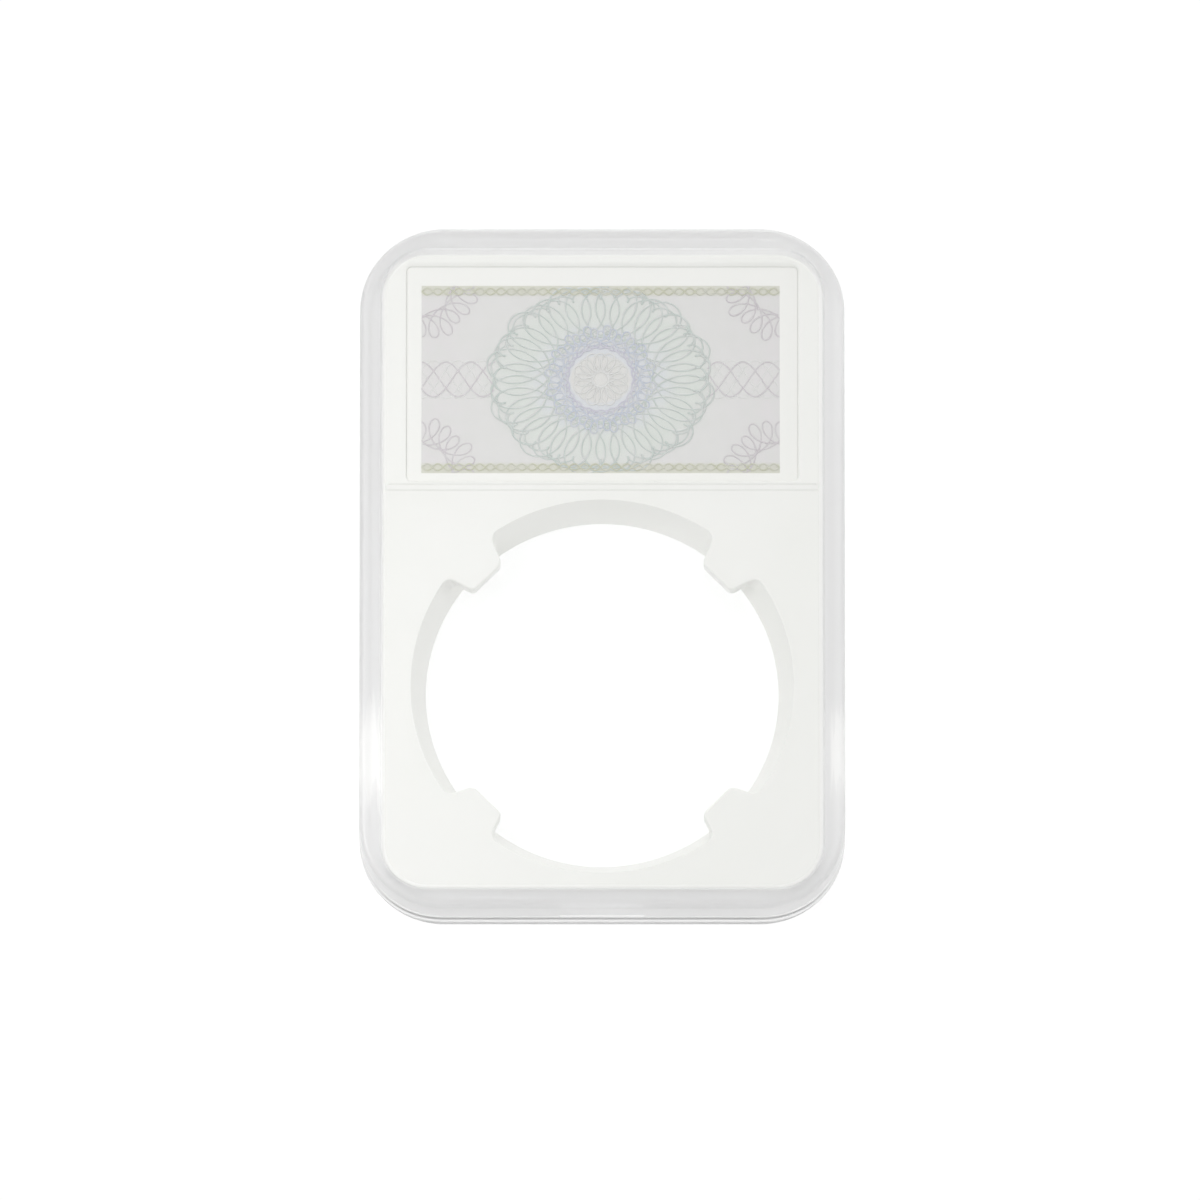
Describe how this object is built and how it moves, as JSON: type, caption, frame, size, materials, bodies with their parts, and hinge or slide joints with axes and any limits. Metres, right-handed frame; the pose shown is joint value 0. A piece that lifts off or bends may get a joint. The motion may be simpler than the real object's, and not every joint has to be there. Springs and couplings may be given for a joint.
{
  "type": "coin slab holder",
  "caption": "Flat clear two-shell coin holder with rounded corners, a white pronged insert round an open coin window, and a label card above it.",
  "frame": {"origin": "below the slab's centre, on the plane that its back rim rests on", "axes": "+X to the right seen from the front, +Y towards the label end, +Z out of the front window"},
  "size_m": [0.06, 0.0864, 0.0094],
  "materials": {
    "clear_plastic": "polished",
    "white_plastic": "satin",
    "printed_card": "matte"
  },
  "bodies": {
    "back_shell": {"back_shell": "clear_plastic"},
    "coin_insert": {"coin_insert": "white_plastic"},
    "label_card": {"label_card": "printed_card"},
    "front_shell": {"front_shell": "clear_plastic"}
  },
  "joints": [
    {"name": "insert_lift", "type": "slide", "parent": "back_shell", "child": "coin_insert", "axis": [0, 0, 1], "range_m": [0, 0.014]},
    {"name": "front_lift", "type": "slide", "parent": "coin_insert", "child": "front_shell", "axis": [0, 0, 1], "range_m": [0, 0.02]},
    {"name": "label_lift", "type": "slide", "parent": "coin_insert", "child": "label_card", "axis": [0, 0, 1], "range_m": [0, 0.01]}
  ],
  "couplings": [
    {"joint": "label_lift", "follows": "front_lift", "ratio": 0.5}
  ]
}
